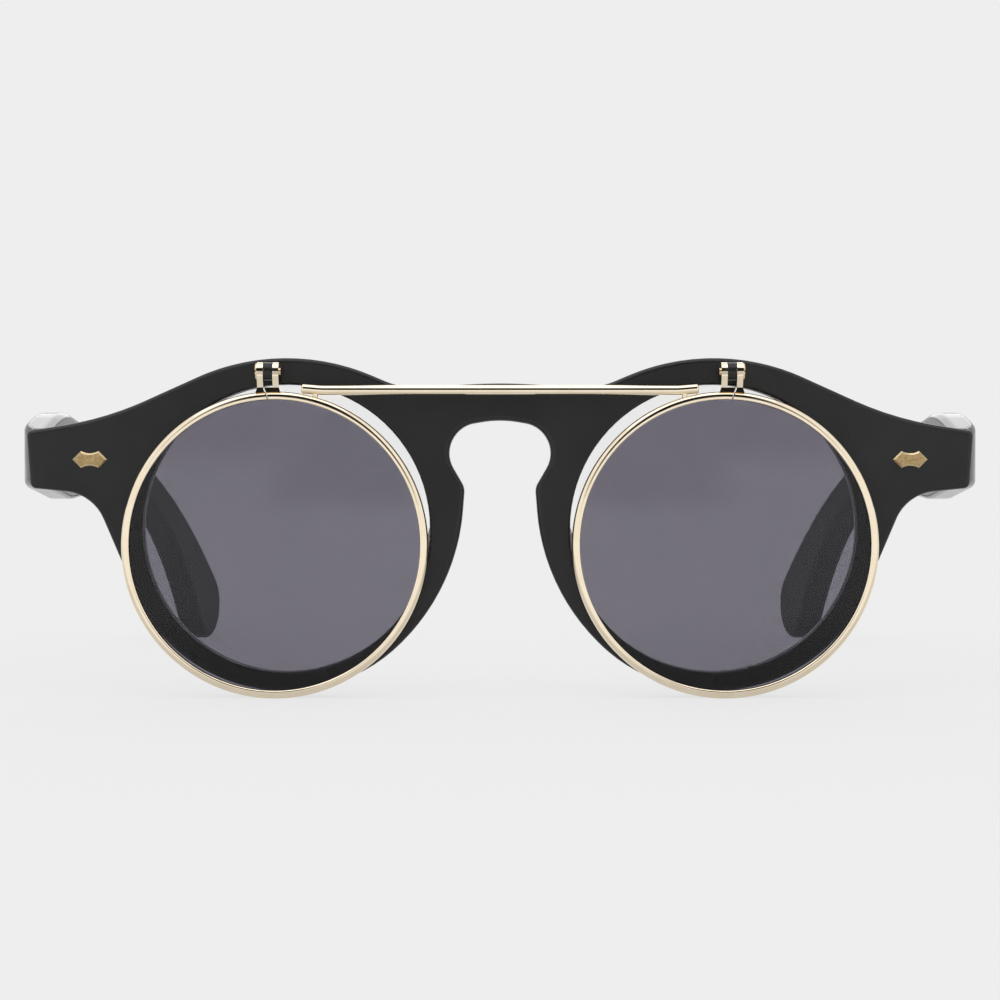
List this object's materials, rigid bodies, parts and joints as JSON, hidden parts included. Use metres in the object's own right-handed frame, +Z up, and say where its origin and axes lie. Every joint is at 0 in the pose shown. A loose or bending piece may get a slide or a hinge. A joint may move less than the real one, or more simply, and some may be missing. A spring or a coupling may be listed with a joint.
{
  "type": "flip-up sunglasses",
  "caption": "Round keyhole-bridge sunglasses: a plastic front with clear lenses, a hinged wire-rimmed pair of tinted lenses that flips up, and folding temples.",
  "frame": {"origin": "on the table under the middle of the open glasses", "axes": "+Z up, the front faces -Y, the temples run to +Y, +X is the wearer's left"},
  "size_m": [0.1498, 0.1442, 0.0519],
  "materials": {
    "frame_plastic": "satin black",
    "gold_metal": "polished pale gold plate",
    "plaque_brass": "antique, finely hammered",
    "tinted_lens": "polished grey tint",
    "clear_lens": "polished clear",
    "hinge_steel": "satin",
    "screw_steel": "bright turned"
  },
  "bodies": {
    "front": {"front_frame": "frame_plastic", "left_clear_lens": "clear_lens", "left_rivet_plaque": "plaque_brass", "left_front_hinge": "hinge_steel", "left_temple_screw": "screw_steel", "right_clear_lens": "clear_lens", "right_rivet_plaque": "plaque_brass", "right_front_hinge": "hinge_steel", "right_temple_screw": "screw_steel"},
    "flip": {"brow_bar": "gold_metal", "left_flip_rim": "gold_metal", "left_tinted_lens": "tinted_lens", "left_outer_lug": "gold_metal", "left_inner_lug": "gold_metal", "left_flip_screw": "screw_steel", "left_bar_post": "gold_metal", "right_flip_rim": "gold_metal", "right_tinted_lens": "tinted_lens", "right_outer_lug": "gold_metal", "right_inner_lug": "gold_metal", "right_flip_screw": "screw_steel", "right_bar_post": "gold_metal"},
    "left_temple": {"left_temple": "frame_plastic", "left_temple_hinge": "hinge_steel"},
    "right_temple": {"right_temple": "frame_plastic", "right_temple_hinge": "hinge_steel"}
  },
  "joints": [
    {"name": "flip_hinge", "type": "hinge", "parent": "front", "child": "flip", "pos_m": [0, -0.07074, 0.04976], "axis": [-1, 0, 0], "range_deg": [0, 100]},
    {"name": "left_temple_hinge", "type": "hinge", "parent": "front", "child": "left_temple", "pos_m": [0.0685, -0.0613, 0.03637], "axis": [0, 0, 1], "range_deg": [0, 86]},
    {"name": "right_temple_hinge", "type": "hinge", "parent": "front", "child": "right_temple", "pos_m": [-0.0685, -0.0613, 0.03637], "axis": [0, 0, -1], "range_deg": [0, 77]}
  ]
}
